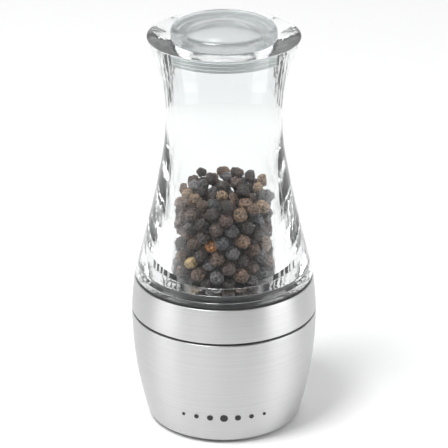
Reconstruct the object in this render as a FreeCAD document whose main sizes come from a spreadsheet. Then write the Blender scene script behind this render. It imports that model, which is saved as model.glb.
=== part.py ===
import FreeCAD, Part
import math
import operator
import os
import random

import Sketcher

# A pepper mill, in millimetres. +Z is up, the origin is the centre of the foot ring's resting
# face, and every round piece is on the Z axis.

Vector = FreeCAD.Vector
FULL_TURN = 360
SIGNS = {"+": operator.add, "-": operator.sub, "*": operator.mul, "/": operator.truediv}

doc = FreeCAD.newDocument("pepper_mill")
sheet = doc.addObject("Spreadsheet::Sheet", "Sizes")
sheet.set("A1", "Driving dimension")
sheet.set("B1", "Value")


class Size:
    """A number together with the sheet formula that gives it."""

    def __init__(self, number, formula):
        self.number = number
        self.formula = formula

    def __add__(self, other):
        return combined(self, "+", other)

    def __radd__(self, other):
        return combined(other, "+", self)

    def __sub__(self, other):
        return combined(self, "-", other)

    def __rsub__(self, other):
        return combined(other, "-", self)

    def __mul__(self, other):
        return combined(self, "*", other)

    def __rmul__(self, other):
        return combined(other, "*", self)

    def __truediv__(self, other):
        return combined(self, "/", other)

    def __neg__(self):
        return combined(0, "-", self)


def as_size(value):
    return value if isinstance(value, Size) else Size(value, str(value))


def combined(left, sign, right):
    left, right = as_size(left), as_size(right)
    return Size(SIGNS[sign](left.number, right.number), f"({left.formula} {sign} {right.formula})")


def half_chord(radius, rise):
    """How far across a circle reaches at a distance from its centre."""
    return Size(math.sqrt(radius.number ** 2 - rise.number ** 2),
                f"sqrt({radius.formula} ^ 2 - {rise.formula} ^ 2)")


sheet_rows = [1]


def size(alias, number):
    """Write one driving dimension into the sheet."""
    row = len(sheet_rows) + 1
    sheet_rows.append(row)
    sheet.set(f"A{row}", alias)
    sheet.set(f"B{row}", str(number))
    sheet.setAlias(f"B{row}", alias)
    return Size(number, f"Sizes.{alias}")


# ---- clearances -------------------------------------------------------------------------------
running_gap = size("running_gap", 0.3)
shaft_gap = size("shaft_gap", 0.05)
seat_gap = size("seat_gap", 0.1)

# ---- base and seam ----------------------------------------------------------------------------
foot_radius = size("foot_radius", 24.4)
foot_height = size("foot_height", 0.8)
foot_ring_height = size("foot_ring_height", 2.5)
shell_thickness = size("shell_thickness", 1.0)
shell_foot_radius = size("shell_foot_radius", 27.0)
shell_foot_round = size("shell_foot_round", 2.0)
shell_middle_radius = size("shell_middle_radius", 30.72)
seam_radius = size("seam_radius", 32.08)
seam_height = size("seam_height", 40.2)
seam_gap = size("seam_gap", 0.85)
edge_break = size("edge_break", 0.25)

# ---- collar -----------------------------------------------------------------------------------
collar_height = size("collar_height", 11.95)
collar_top_radius = size("collar_top_radius", 30.95)
collar_bulge = size("collar_bulge", 0.15)
gasket_thickness = size("gasket_thickness", 0.8)
collar_bottom = seam_height + seam_gap
collar_top = collar_bottom + collar_height
body_foot = collar_top + gasket_thickness

# ---- clear body -------------------------------------------------------------------------------
body_height = size("body_height", 86.6)
waist_radius = size("waist_radius", 19.88)
waist_rise = size("waist_rise", 56.7)
flank_radius = size("flank_radius", 25.84)
flank_rise = size("flank_rise", 20.5)
neck_radius = size("neck_radius", 20.94)
neck_rise = size("neck_rise", 44.2)
shoulder_radius = size("shoulder_radius", 23.16)
shoulder_rise = size("shoulder_rise", 32.35)
rim_radius = size("rim_radius", 25.92)
rim_round = size("rim_round", 0.4)
rim_dish = size("rim_dish", 0.7)
bore_top_radius = size("bore_top_radius", 17.2)
bore_foot_radius = size("bore_foot_radius", 18.5)
mouth_depth = size("mouth_depth", 7.0)
seat_land = size("seat_land", 0.1)
recess_radius = size("recess_radius", 26.0)
recess_rise = size("recess_rise", 2.6)
rim_height = body_foot + body_height
dish_height = rim_height - rim_dish
recess_top = body_foot + recess_rise

# ---- stopper ----------------------------------------------------------------------------------
cap_overhang = size("cap_overhang", 0.8)
cap_height = size("cap_height", 4.7)
cap_edge = size("cap_edge", 0.3)
cap_shoulder = size("cap_shoulder", 2.5)
cap_crown = size("cap_crown", 0.5)
cap_flat = size("cap_flat", 2.0)
hollow_flat = size("hollow_flat", 1.0)
hollow_rise = size("hollow_rise", 6.7)
hollow_wall_rise = size("hollow_wall_rise", 1.5)
plug_wall = size("plug_wall", 1.4)
plug_depth = size("plug_depth", 4.9)
seal_thickness = size("seal_thickness", 1.2)
fin_height = size("fin_height", 0.6)
fin_root = size("fin_root", 0.1)
fin_squeeze = size("fin_squeeze", 0.04)
cap_radius = bore_top_radius + cap_overhang
plug_radius = bore_top_radius - seal_thickness

# ---- insert, drive plate and clip -------------------------------------------------------------
hopper_inset = size("hopper_inset", 0.3)
flange_overhang = size("flange_overhang", 3.4)
flange_depth = size("flange_depth", 6.9)
hopper_rise = size("hopper_rise", 5.2)
skirt_radius = size("skirt_radius", 22.5)
skirt_wall = size("skirt_wall", 3.1)
skirt_drop = size("skirt_drop", 8.6)
plate_thickness = size("plate_thickness", 2.0)
hub_wall = size("hub_wall", 1.4)
hub_rise = size("hub_rise", 2.0)
square_side = size("square_side", 5.0)
window_inset = size("window_inset", 2.4)
window_share = size("window_share", 0.62)
spoke_inset = size("spoke_inset", 3.0)
clip_thickness = size("clip_thickness", 0.9)
clip_width = size("clip_width", 2.0)
clip_bite = size("clip_bite", 0.9)
clip_opening = size("clip_opening", 7.0)
screw_radius = size("screw_radius", 1.1)
flange_radius = recess_radius + flange_overhang
hopper_radius = bore_foot_radius - hopper_inset
skirt_bore = skirt_radius - skirt_wall
window_radius = skirt_bore - window_inset
window_half_width = window_radius * window_share
lip_bottom_height = collar_top - shell_thickness
flange_bottom = lip_bottom_height - flange_depth
skirt_bottom = flange_bottom - skirt_drop
clip_bottom = skirt_bottom + clip_thickness
clip_outer_radius = skirt_radius - clip_bite + clip_width
half_square = square_side / 2
half_socket = half_square + shaft_gap
diagonal = half_square * math.sqrt(2)
hub_radius = half_socket * math.sqrt(2) + hub_wall
plate_bottom = flange_bottom - plate_thickness / 2
plate_top = plate_bottom + plate_thickness

# ---- housing ----------------------------------------------------------------------------------
housing_radius = size("housing_radius", 23.6)
housing_wall = size("housing_wall", 2.1)
throat_radius = size("throat_radius", 15.6)
throat_top_radius = size("throat_top_radius", 19.0)
throat_drop = size("throat_drop", 5.7)
housing_flange = size("housing_flange", 1.6)
chamber_step = size("chamber_step", 0.5)
lip_wall = size("lip_wall", 1.6)
chamber_radius = housing_radius - housing_wall - chamber_step
adjuster_bore = housing_radius - housing_wall
lip_bottom = clip_bottom + clip_thickness + running_gap
throat_top = skirt_bottom - running_gap

# ---- burrs and drive --------------------------------------------------------------------------
burr_seat_radius = size("burr_seat_radius", 17.2)
burr_height = size("burr_height", 14.2)
burr_bottom = size("burr_bottom", 16.0)
waist_of_burr = size("waist_of_burr", 9.8)
cone_radius = size("cone_radius", 12.6)
cone_neck_radius = size("cone_neck_radius", 9.0)
cone_top_wall = size("cone_top_wall", 0.76)
cone_height = size("cone_height", 17.6)
burr_gap = size("burr_gap", 0.8)
tooth_half_width = size("tooth_half_width", 0.7)
tooth_depth = size("tooth_depth", 0.9)
TEETH = 24
spindle_foot_radius = size("spindle_foot_radius", 2.55)
collar_shoulder = size("collar_shoulder", 0.86)
retainer_thickness = size("retainer_thickness", 1.2)
retainer_circle = size("retainer_circle", 19.0)
cone_bottom = burr_bottom - 0.7
cone_top = cone_bottom + cone_height
cone_top_radius = diagonal + cone_top_wall
spindle_collar_radius = diagonal + collar_shoulder
burr_top = burr_bottom + burr_height

# ---- adjuster and bridge ----------------------------------------------------------------------
adjust_travel = size("adjust_travel", 1.2)
adjust_angle = size("adjust_angle", 150)
outlet_radius = size("outlet_radius", 12.0)
sleeve_radius = size("sleeve_radius", 19.5)
sleeve_recess = size("sleeve_recess", 0.9)
adjuster_flange = size("adjuster_flange", 2.8)
groove_depth = size("groove_depth", 0.7)
groove_half_width = size("groove_half_width", 0.6)
ramp_inner_radius = size("ramp_inner_radius", 13.5)
ramp_outer_radius = size("ramp_outer_radius", 17.5)
ramp_foot = size("ramp_foot", 0.6)
ramp_lead_angle = size("ramp_lead_angle", 9)
bridge_width = size("bridge_width", 8.0)
bridge_thickness = size("bridge_thickness", 3.0)
bridge_pad = size("bridge_pad", 1.6)
bridge_pad_width = size("bridge_pad_width", 3.0)
slot_depth = size("slot_depth", 1.5)
boss_radius = size("boss_radius", 5.0)
boss_height = size("boss_height", 1.0)
bush_wall = size("bush_wall", 1.0)
adjuster_bottom = foot_ring_height + running_gap
adjuster_top = adjuster_bottom + adjuster_flange
ramp_start = adjuster_top + ramp_foot
bridge_bottom = ramp_start + seat_gap + bridge_pad
bridge_top = bridge_bottom + bridge_thickness
bush_top = bridge_top + boss_height + 0.6
washer_top = bush_top + shaft_gap + 0.6


# ---- how a piece is drawn and shaped ------------------------------------------------------------
pieces = []


def new_piece(label):
    body = doc.addObject("PartDesign::Body", label)
    body.Label = label
    pieces.append(body)
    return body


def origin_part(body, role):
    return next(item for item in body.Origin.OriginFeatures if item.Role == role)


def new_sketch(body, role, offset=None):
    """An empty sketch on one of the body's own origin planes, raised by offset along +Z."""
    sketch = body.newObject("Sketcher::SketchObject", f"{body.Name}_sketch")
    sketch.AttachmentSupport = [(origin_part(body, role), "")]
    sketch.MapMode = "FlatFace"
    if offset is not None:
        sketch.AttachmentOffset = FreeCAD.Placement(Vector(0, 0, as_size(offset).number),
                                                    FreeCAD.Rotation())
        sketch.setExpression("AttachmentOffset.Base.z", as_size(offset).formula)
    return sketch


def tie(sketch, constraint, value):
    """Add a dimension and bind it to the sheet."""
    index = sketch.addConstraint(constraint)
    sketch.setExpression(f"Constraints[{index}]", as_size(value).formula)


def tie_point(sketch, geometry, position, across, up):
    """Place one point of the drawing by its two coordinates."""
    across, up = as_size(across), as_size(up)
    if across.number == 0:
        sketch.addConstraint(Sketcher.Constraint("PointOnObject", geometry, position, -2))
    else:
        tie(sketch, Sketcher.Constraint("DistanceX", -1, 1, geometry, position, across.number), across)
    if up.number == 0:
        sketch.addConstraint(Sketcher.Constraint("PointOnObject", geometry, position, -1))
    else:
        tie(sketch, Sketcher.Constraint("DistanceY", -1, 1, geometry, position, up.number), up)


def as_vector(across, up):
    return Vector(as_size(across).number, as_size(up).number, 0)


def draw_outline(sketch, outline):
    """Draw a closed outline. Each corner is (across, up); two more values make the edge that
    leaves it an arc through that second point."""
    edges = []
    for index, corner in enumerate(outline):
        following = outline[(index + 1) % len(outline)]
        start, end = as_vector(*corner[:2]), as_vector(*following[:2])
        if len(corner) == 4:
            edge = sketch.addGeometry(Part.Arc(start, as_vector(*corner[2:]), end), False)
        else:
            edge = sketch.addGeometry(Part.LineSegment(start, end), False)
        forward = (sketch.getPoint(edge, 1) - start).Length < (sketch.getPoint(edge, 2) - start).Length
        edges.append((edge, 1 if forward else 2, 2 if forward else 1))
    for index, corner in enumerate(outline):
        edge, start_end, far_end = edges[index]
        next_edge, next_start, _ = edges[(index + 1) % len(outline)]
        sketch.addConstraint(Sketcher.Constraint("Coincident", edge, far_end, next_edge, next_start))
        tie_point(sketch, edge, start_end, *corner[:2])
    for index, corner in enumerate(outline):
        if len(corner) == 4:
            helper = sketch.addGeometry(Part.Point(as_vector(*corner[2:])), True)
            tie_point(sketch, helper, 1, *corner[2:])
            sketch.addConstraint(Sketcher.Constraint("PointOnObject", helper, 1, edges[index][0]))


def draw_circle(sketch, across, up, radius):
    circle = sketch.addGeometry(Part.Circle(as_vector(across, up), Vector(0, 0, 1), radius.number), False)
    tie_point(sketch, circle, 3, across, up)
    tie(sketch, Sketcher.Constraint("Radius", circle, radius.number), radius)


def turn(body, outline, feature="PartDesign::Revolution"):
    """Turn a half-section (radius, height) round the Z axis; a Groove takes material away."""
    sketch = new_sketch(body, "XZ_Plane")
    draw_outline(sketch, outline)
    turned = body.newObject(feature, f"{body.Name}_turned")
    turned.Profile = sketch
    turned.ReferenceAxis = (sketch, ["V_Axis"])
    turned.Angle = FULL_TURN
    sketch.Visibility = False
    return turned


def extrude(body, feature, bottom, top, draw):
    """Pad or pocket what draw() puts in a sketch, between two heights."""
    bottom, top = as_size(bottom), as_size(top)
    sketch = new_sketch(body, "XY_Plane", (bottom + top) / 2)
    draw(sketch)
    block = body.newObject(feature, f"{body.Name}_block")
    block.Profile = sketch
    block.SideType = "Symmetric"
    block.Length = (top - bottom).number
    block.setExpression("Length", (top - bottom).formula)
    sketch.Visibility = False
    return block


def pad(body, bottom, top, draw):
    return extrude(body, "PartDesign::Pad", bottom, top, draw)


def pocket(body, bottom, top, draw):
    return extrude(body, "PartDesign::Pocket", bottom, top, draw)


def repeat_round(body, feature, count):
    """Repeat a feature evenly round the Z axis."""
    pattern = body.newObject("PartDesign::PolarPattern", f"{body.Name}_pattern")
    pattern.Originals = [feature]
    pattern.Axis = (origin_part(body, "Z_Axis"), [""])
    pattern.Angle = FULL_TURN
    pattern.Occurrences = count
    body.Tip = pattern
    return pattern


def rectangle(left, right, front, back):
    return outline([(left, front), (right, front), (right, back), (left, back)])


def outline(corners):
    return lambda sketch: draw_outline(sketch, corners)


def circle(across, up, radius):
    return lambda sketch: draw_circle(sketch, across, up, radius)


def ring_outline(inner, outer, bottom, top):
    return [(inner, bottom), (outer, bottom), (outer, top), (inner, top)]


def screw_set(label, circle_radius, shank_radius, head_radius, head_bottom, head_top, tip):
    """Three pan-head screws, heads down, evenly round the axis, with a cross recess."""
    body = new_piece(label)
    body.AllowCompound = True
    head = pad(body, head_bottom, head_top, circle(0, -circle_radius, head_radius))
    shank = pad(body, head_top, tip, circle(0, -circle_radius, shank_radius))
    slot_half = head_radius * 0.15
    slot_reach = head_radius * 0.6
    slot_top = head_bottom + (head_top - head_bottom) * 0.5
    slots = [
        pocket(body, head_bottom - 1, slot_top,
               rectangle(-across, across, -circle_radius - along, -circle_radius + along))
        for across, along in ((slot_reach, slot_half), (slot_half, slot_reach))
    ]
    pattern = repeat_round(body, head, 3)
    pattern.Originals = [head, shank] + slots


# ---- clear body ---------------------------------------------------------------------------------
# Cast acrylic: a straight lower flank, a long hollow curve through the waist up to a crisp rim,
# a slightly dished top, one bore for the peppercorns and a broad flat recess at the foot.
clear_body = new_piece("clear_body")
round_inset = rim_round * (1 - math.cos(math.pi / 4))
turn(clear_body, [
    (recess_radius, body_foot),
    (collar_top_radius - seat_land, body_foot),
    (flank_radius, body_foot + flank_rise, shoulder_radius, body_foot + shoulder_rise),
    (neck_radius, body_foot + neck_rise, waist_radius, body_foot + waist_rise),
    (rim_radius, rim_height - rim_round, rim_radius - round_inset, rim_height - round_inset),
    (rim_radius - rim_round, rim_height),
    (cap_radius, dish_height),
    (bore_top_radius + rim_round, dish_height),
    (bore_top_radius, dish_height - rim_round),
    (bore_top_radius, dish_height - mouth_depth),
    (bore_foot_radius, recess_top),
    (recess_radius, recess_top),
])

# ---- stopper ------------------------------------------------------------------------------------
# A turned acrylic lid with a round shoulder and a low crown, hollowed from below like a bell; a soft
# sleeve with three fins on its plug grips the bore.
cap_bottom = dish_height + seat_gap
cap_top = cap_bottom + cap_height
plug_bottom = dish_height - plug_depth
hollow_radius = plug_radius - plug_wall
shoulder_inset = cap_shoulder * (1 - math.sin(math.radians(45)))
stopper_cap = new_piece("stopper_cap")
turn(stopper_cap, [
    (0, plug_bottom + hollow_rise),
    (hollow_flat, plug_bottom + hollow_rise, hollow_radius / 2, plug_bottom + hollow_rise * 0.82),
    (hollow_radius, plug_bottom + hollow_wall_rise),
    (hollow_radius, plug_bottom),
    (plug_radius, plug_bottom),
    (plug_radius, cap_bottom),
    (cap_radius - cap_edge, cap_bottom),
    (cap_radius, cap_bottom + cap_edge),
    (cap_radius, cap_top - cap_crown - cap_shoulder * 0.8,
     cap_radius - shoulder_inset, cap_top - cap_crown - shoulder_inset * 0.8),
    (cap_radius - cap_shoulder, cap_top - cap_crown, cap_radius / 2, cap_top - cap_crown * 0.3),
    (cap_flat, cap_top),
    (0, cap_top),
])
stopper_seal = new_piece("stopper_seal")
sleeve_outer = bore_top_radius - fin_height
turn(stopper_seal, ring_outline(plug_radius, sleeve_outer, plug_bottom, cap_bottom))
for fin_level in (0.15, 0.45, 0.75):
    fin_bottom = plug_bottom + plug_depth * fin_level
    turn(stopper_seal, [
        (sleeve_outer - fin_root, fin_bottom),
        (bore_top_radius - fin_squeeze, fin_bottom + fin_height / 2),
        (sleeve_outer - fin_root, fin_bottom + fin_height),
    ])

# ---- collar, gasket and slip ring ---------------------------------------------------------------
# The collar is spun from steel sheet with a lip that turns in under the gasket.
collar = new_piece("collar")
collar_middle = collar_bottom + collar_height / 2
collar_middle_radius = (seam_radius + collar_top_radius) / 2 + collar_bulge
lip_radius = recess_radius + running_gap
turn(collar, [
    (seam_radius - shell_thickness, collar_bottom),
    (seam_radius - edge_break, collar_bottom),
    (seam_radius, collar_bottom + edge_break, collar_middle_radius, collar_middle),
    (collar_top_radius, collar_top - edge_break),
    (collar_top_radius - edge_break, collar_top),
    (lip_radius, collar_top),
    (lip_radius, collar_top - shell_thickness),
    (collar_top_radius - shell_thickness, collar_top - shell_thickness,
     collar_middle_radius - shell_thickness, collar_middle),
])
collar_gasket = new_piece("collar_gasket")
turn(collar_gasket, ring_outline(lip_radius, collar_top_radius - 0.3, collar_top, body_foot))
slip_ring = new_piece("slip_ring")
turn(slip_ring, ring_outline(skirt_radius + running_gap, seam_radius - 0.6, seam_height,
                             collar_bottom - running_gap))

# ---- base shell and foot ring -------------------------------------------------------------------
# The shell is drawn steel with a rounded foot turned in to the rubber ring.
base_shell = new_piece("base_shell")
shell_middle = (foot_height + seam_height) / 2
round_middle = shell_foot_round * 0.32
turn(base_shell, [
    (foot_radius + seat_gap, foot_height),
    (shell_foot_radius - shell_foot_round, foot_height,
     shell_foot_radius - round_middle, foot_height + round_middle),
    (shell_foot_radius, foot_height + shell_foot_round, shell_middle_radius, shell_middle),
    (seam_radius, seam_height - edge_break),
    (seam_radius - edge_break, seam_height),
    (seam_radius - shell_thickness, seam_height,
     shell_middle_radius - shell_thickness, shell_middle),
    (shell_foot_radius - shell_thickness, foot_height + shell_foot_round,
     shell_foot_radius - round_middle - shell_thickness * 0.75,
     foot_height + round_middle + shell_thickness * 0.75),
    (shell_foot_radius - shell_foot_round, foot_height + shell_thickness),
    (foot_radius + seat_gap, foot_height + shell_thickness),
])
foot_ring = new_piece("foot_ring")
foot_inner_radius = sleeve_radius + running_gap
turn(foot_ring, [
    (foot_inner_radius, 0),
    (foot_radius - edge_break, 0),
    (foot_radius, edge_break),
    (foot_radius, foot_ring_height),
    (foot_inner_radius, foot_ring_height),
])

# ---- drive insert, drive plate and insert clip --------------------------------------------------
# The insert is cemented into the recess at its rim, clamps the collar's lip from below and carries
# the hopper mouth.
drive_insert = new_piece("drive_insert")
turn(drive_insert, [
    (hopper_radius, recess_top - running_gap),
    (recess_radius - seat_gap, recess_top - running_gap),
    (recess_radius - seat_gap, lip_bottom_height),
    (flange_radius, lip_bottom_height),
    (flange_radius, flange_bottom),
    (skirt_radius, flange_bottom),
    (skirt_radius, clip_bottom + clip_thickness),
    (skirt_radius - clip_bite, clip_bottom + clip_thickness),
    (skirt_radius - clip_bite, clip_bottom),
    (skirt_radius, clip_bottom),
    (skirt_radius, skirt_bottom),
    (skirt_bore, skirt_bottom),
    (skirt_bore, plate_top),
    (window_radius, plate_top),
    (hopper_radius, flange_bottom + hopper_rise),
])

# A pressed plate with three windows that the peppercorns fall through.
drive_plate = new_piece("drive_plate")
hub_top = plate_top + hub_rise
hub_bottom = plate_bottom - hub_rise
turn(drive_plate, [
    (0, hub_bottom),
    (hub_radius, hub_bottom),
    (hub_radius, plate_bottom),
    (skirt_bore, plate_bottom),
    (skirt_bore, plate_top),
    (hub_radius, plate_top),
    (hub_radius, hub_top),
    (0, hub_top),
])
window_side = window_radius * 0.8
window_inner = hub_radius + 1.5
window = pocket(drive_plate, plate_bottom - 1, plate_top + 1, outline([
    (window_inner, -spoke_inset),
    (window_side, -window_half_width, window_radius, 0),
    (window_side, window_half_width),
    (window_inner, spoke_inset),
]))
repeat_round(drive_plate, window, 3)
pocket(drive_plate, hub_bottom - 1, hub_top + 1,
       rectangle(-half_socket, half_socket, -half_socket, half_socket))

insert_clip = new_piece("insert_clip")
clip_inner_radius = skirt_radius - clip_bite
turn(insert_clip, ring_outline(clip_inner_radius, clip_outer_radius, clip_bottom,
                               clip_bottom + clip_thickness))
pocket(insert_clip, clip_bottom - 1, clip_bottom + clip_thickness + 1,
       rectangle(0, clip_outer_radius + 1, -clip_opening / 2, clip_opening / 2))

# ---- mechanism housing and its clip -------------------------------------------------------------
# Moulded housing: a lip over the insert clip, a throat, the burr seat and the bridge chamber with
# two upright slots that keep the bridge from turning.
mechanism_housing = new_piece("mechanism_housing")
housing_flange_radius = seam_radius - shell_thickness - running_gap
chamber_top = burr_bottom
shoulder_height = adjuster_top + running_gap
turn(mechanism_housing, [
    (skirt_radius + running_gap, lip_bottom),
    (clip_outer_radius + running_gap, lip_bottom),
    (clip_outer_radius + running_gap, throat_top),
    (throat_top_radius, throat_top),
    (throat_radius, throat_top - throat_drop),
    (throat_radius, burr_top),
    (burr_seat_radius, burr_top),
    (burr_seat_radius, chamber_top),
    (chamber_radius, chamber_top),
    (chamber_radius, shoulder_height),
    (adjuster_bore, shoulder_height),
    (adjuster_bore, foot_ring_height),
    (housing_radius, foot_ring_height),
    (housing_radius, throat_top - throat_drop),
    (clip_outer_radius + running_gap + lip_wall, throat_top),
    (clip_outer_radius + running_gap + lip_wall, seam_height - housing_flange),
    (housing_flange_radius, seam_height - housing_flange),
    (housing_flange_radius, seam_height),
    (skirt_radius + running_gap, seam_height),
])
slot_half = bridge_width / 2 + running_gap
pocket(mechanism_housing, shoulder_height, bridge_top + adjust_travel + running_gap,
       rectangle(-(chamber_radius + slot_depth), chamber_radius + slot_depth, -slot_half, slot_half))
retainer_tip = burr_bottom + 6
repeat_round(mechanism_housing, pocket(mechanism_housing, burr_bottom - 1, retainer_tip + running_gap,
                                       circle(0, -retainer_circle, screw_radius)), 3)
shell_clip = new_piece("shell_clip")
shell_clip_top = seam_height - housing_flange
turn(shell_clip, ring_outline(clip_outer_radius + running_gap + lip_wall, housing_flange_radius,
                              shell_clip_top - clip_thickness, shell_clip_top))
pocket(shell_clip, shell_clip_top - clip_thickness - 1, shell_clip_top + 1,
       rectangle(0, seam_radius, -clip_opening / 2, clip_opening / 2))

# ---- burrs --------------------------------------------------------------------------------------
# Ceramic burrs: an hourglass ring and a cone that close on each other as the cone rises.
grinder_ring = new_piece("grinder_ring")
burr_slope = (cone_radius - cone_neck_radius) / 9
ring_waist_height = burr_bottom + 10.5
ring_foot_radius = cone_radius + burr_gap + burr_slope * 1.4
turn(grinder_ring, [
    (ring_foot_radius, burr_bottom),
    (burr_seat_radius, burr_bottom),
    (burr_seat_radius, burr_top),
    (throat_radius, burr_top),
    (waist_of_burr, ring_waist_height),
])
ring_tooth = pocket(grinder_ring, burr_bottom - 1, burr_bottom + 4, outline([
    (cone_radius - 1, -tooth_half_width),
    (ring_foot_radius + tooth_depth, 0),
    (cone_radius - 1, tooth_half_width),
]))
repeat_round(grinder_ring, ring_tooth, TEETH)
grinder_cone = new_piece("grinder_cone")
turn(grinder_cone, [
    (0, cone_bottom),
    (cone_radius, cone_bottom),
    (cone_radius, cone_bottom + 1.6),
    (cone_neck_radius, cone_bottom + 10.6),
    (cone_top_radius, cone_top),
    (0, cone_top),
])
pocket(grinder_cone, cone_bottom - 1, cone_top + 1,
       rectangle(-half_square, half_square, -half_square, half_square))
cone_tooth = pocket(grinder_cone, cone_bottom - 1, cone_bottom + 6, outline([
    (cone_radius + 1, -1.1),
    (cone_radius + 1, 1.1),
    (cone_radius - 1, 0),
]))
repeat_round(grinder_cone, cone_tooth, TEETH)
repeat_round(grinder_cone, pocket(grinder_cone, cone_bottom + 9, cone_top - 1.5,
                                  circle(cone_neck_radius, 0, burr_gap * 2)), 6)

# ---- spindle and what sits on it ----------------------------------------------------------------
spindle = new_piece("spindle")
spindle_foot = bush_top - bridge_thickness
nut_height = size("nut_height", 2.4)
spindle_top = hub_top + running_gap + nut_height + 0.8
nut_bottom = hub_top + running_gap
turn(spindle, [
    (0, spindle_foot),
    (spindle_foot_radius, spindle_foot),
    (spindle_foot_radius, washer_top),
    (spindle_collar_radius, washer_top),
    (spindle_collar_radius, cone_bottom),
    (half_square, cone_bottom),
    (half_square, spindle_top),
    (0, spindle_top),
])
pad(spindle, cone_bottom, hub_top + running_gap,
    rectangle(-half_square, half_square, -half_square, half_square))
thrust_washer = new_piece("thrust_washer")
turn(thrust_washer, ring_outline(spindle_foot_radius + shaft_gap, spindle_collar_radius,
                                 bush_top + shaft_gap, washer_top))
burr_clip = new_piece("burr_clip")
clip_seat = cone_top
turn(burr_clip, ring_outline(diagonal + shaft_gap, diagonal + clip_width, clip_seat,
                             clip_seat + clip_thickness))
spring_washer = new_piece("spring_washer")
spring_foot = clip_seat + clip_thickness + 0.8
washer_radius = diagonal + clip_width * 1.6
turn(spring_washer, ring_outline(diagonal + shaft_gap, washer_radius, clip_seat + clip_thickness,
                                 spring_foot))
spindle_nut = new_piece("spindle_nut")
turn(spindle_nut, ring_outline(half_square, hub_radius - 0.6, nut_bottom, nut_bottom + nut_height))

grind_spring = new_piece("grind_spring")
wire_radius = size("wire_radius", 0.45)
spring_room = size("spring_room", 0.6)
coil_radius = diagonal + wire_radius + spring_room
spring_turns = 4
coil_bottom = spring_foot + seat_gap + wire_radius
coil_rise = hub_bottom - seat_gap - wire_radius - coil_bottom
coil_sketch = new_sketch(grind_spring, "XZ_Plane")
draw_circle(coil_sketch, coil_radius, coil_bottom, wire_radius)
coil = grind_spring.newObject("PartDesign::AdditiveHelix", "grind_spring_coil")
coil.Profile = coil_sketch
coil.ReferenceAxis = (coil_sketch, ["V_Axis"])
coil.Mode = "pitch-height-angle"
coil.Pitch = (coil_rise / spring_turns).number
coil.setExpression("Pitch", (coil_rise / spring_turns).formula)
coil.Height = coil_rise.number
coil.setExpression("Height", coil_rise.formula)

# ---- burr retainer and its screws ---------------------------------------------------------------
burr_retainer = new_piece("burr_retainer")
retainer_bottom = burr_bottom - retainer_thickness
turn(burr_retainer, ring_outline(ring_foot_radius + running_gap, chamber_radius - running_gap,
                                 retainer_bottom, burr_bottom))
repeat_round(burr_retainer, pocket(burr_retainer, retainer_bottom - 1, burr_bottom + 1,
                                   circle(0, -retainer_circle, screw_radius + 0.1)), 3)
screw_set("retainer_screws", retainer_circle, screw_radius, screw_radius * 1.5,
          retainer_bottom - retainer_thickness, retainer_bottom, retainer_tip)

# ---- bridge and bush ----------------------------------------------------------------------------
bearing_bridge = new_piece("bearing_bridge")
bridge_reach = chamber_radius + slot_depth - running_gap
pad(bearing_bridge, bridge_bottom, bridge_top,
    rectangle(-bridge_reach, bridge_reach, -bridge_width / 2, bridge_width / 2))
pad(bearing_bridge, bridge_top, bridge_top + boss_height, circle(0, 0, boss_radius))
for side in (-1, 1):
    inner_edge, outer_edge = ramp_inner_radius * side, ramp_outer_radius * side
    pad(bearing_bridge, bridge_bottom - bridge_pad, bridge_bottom,
        rectangle(inner_edge, outer_edge, -bridge_pad_width / 2, bridge_pad_width / 2))
bush_radius = spindle_foot_radius + bush_wall
bush_bottom = spindle_foot - shaft_gap - bush_wall
pocket(bearing_bridge, bridge_bottom - 1, bridge_top + boss_height + 1, circle(0, 0, bush_radius))
bridge_bearing = new_piece("bridge_bearing")
turn(bridge_bearing, [
    (0, bush_bottom),
    (bush_radius, bush_bottom),
    (bush_radius, bridge_top + boss_height),
    (spindle_collar_radius, bridge_top + boss_height),
    (spindle_collar_radius, bush_top),
    (spindle_foot_radius + shaft_gap, bush_top),
    (spindle_foot_radius + shaft_gap, spindle_foot - shaft_gap),
    (0, spindle_foot - shaft_gap),
])

# ---- adjuster ring and click spring -------------------------------------------------------------
# Twelve notches, thirty degrees apart, round the flange, finger grooves underneath and two ramps
# that lift the bridge's pads by the whole travel.
adjuster_ring = new_piece("adjuster_ring")
turn(adjuster_ring, [
    (outlet_radius, sleeve_recess),
    (sleeve_radius, sleeve_recess),
    (sleeve_radius, adjuster_bottom),
    (adjuster_bore - running_gap, adjuster_bottom),
    (adjuster_bore - running_gap, adjuster_top),
    (outlet_radius, adjuster_top),
])
notch_radius = size("notch_radius", 0.9)
notch_inset = size("notch_inset", 1.4)
notch_centre = adjuster_bore - running_gap - notch_inset
repeat_round(adjuster_ring, pocket(adjuster_ring, adjuster_top - notch_radius, adjuster_top + 1,
                                   circle(0, notch_centre, notch_radius)), 12)
finger_groove = pocket(adjuster_ring, sleeve_recess - 1, sleeve_recess + groove_depth,
                       rectangle(outlet_radius + 1.5, sleeve_radius + 1,
                                 -groove_half_width, groove_half_width))
repeat_round(adjuster_ring, finger_groove, 24)
ramp_pitch = adjust_travel * FULL_TURN / adjust_angle
ramp_sweep = adjust_angle + ramp_lead_angle * 2
ramp_height = adjust_travel * ramp_sweep / adjust_angle
ramp_sketch = new_sketch(adjuster_ring, "XZ_Plane")
ramp_lead = FreeCAD.Rotation(Vector(0, 1, 0), ramp_lead_angle.number)
ramp_sketch.AttachmentOffset = FreeCAD.Placement(Vector(0, 0, 0), ramp_lead)
ramp_lead_drop = adjust_travel * ramp_lead_angle / adjust_angle
draw_outline(ramp_sketch, ring_outline(ramp_inner_radius, ramp_outer_radius,
                                       adjuster_bottom + 0.5, ramp_start - ramp_lead_drop))
ramp = adjuster_ring.newObject("PartDesign::AdditiveHelix", "adjuster_ring_ramp")
ramp.Profile = ramp_sketch
ramp.ReferenceAxis = (ramp_sketch, ["V_Axis"])
ramp.Mode = "pitch-height-angle"
ramp.Pitch = ramp_pitch.number
ramp.setExpression("Pitch", ramp_pitch.formula)
ramp.Height = ramp_height.number
ramp.setExpression("Height", ramp_height.formula)
ramp.LeftHanded = True
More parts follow.
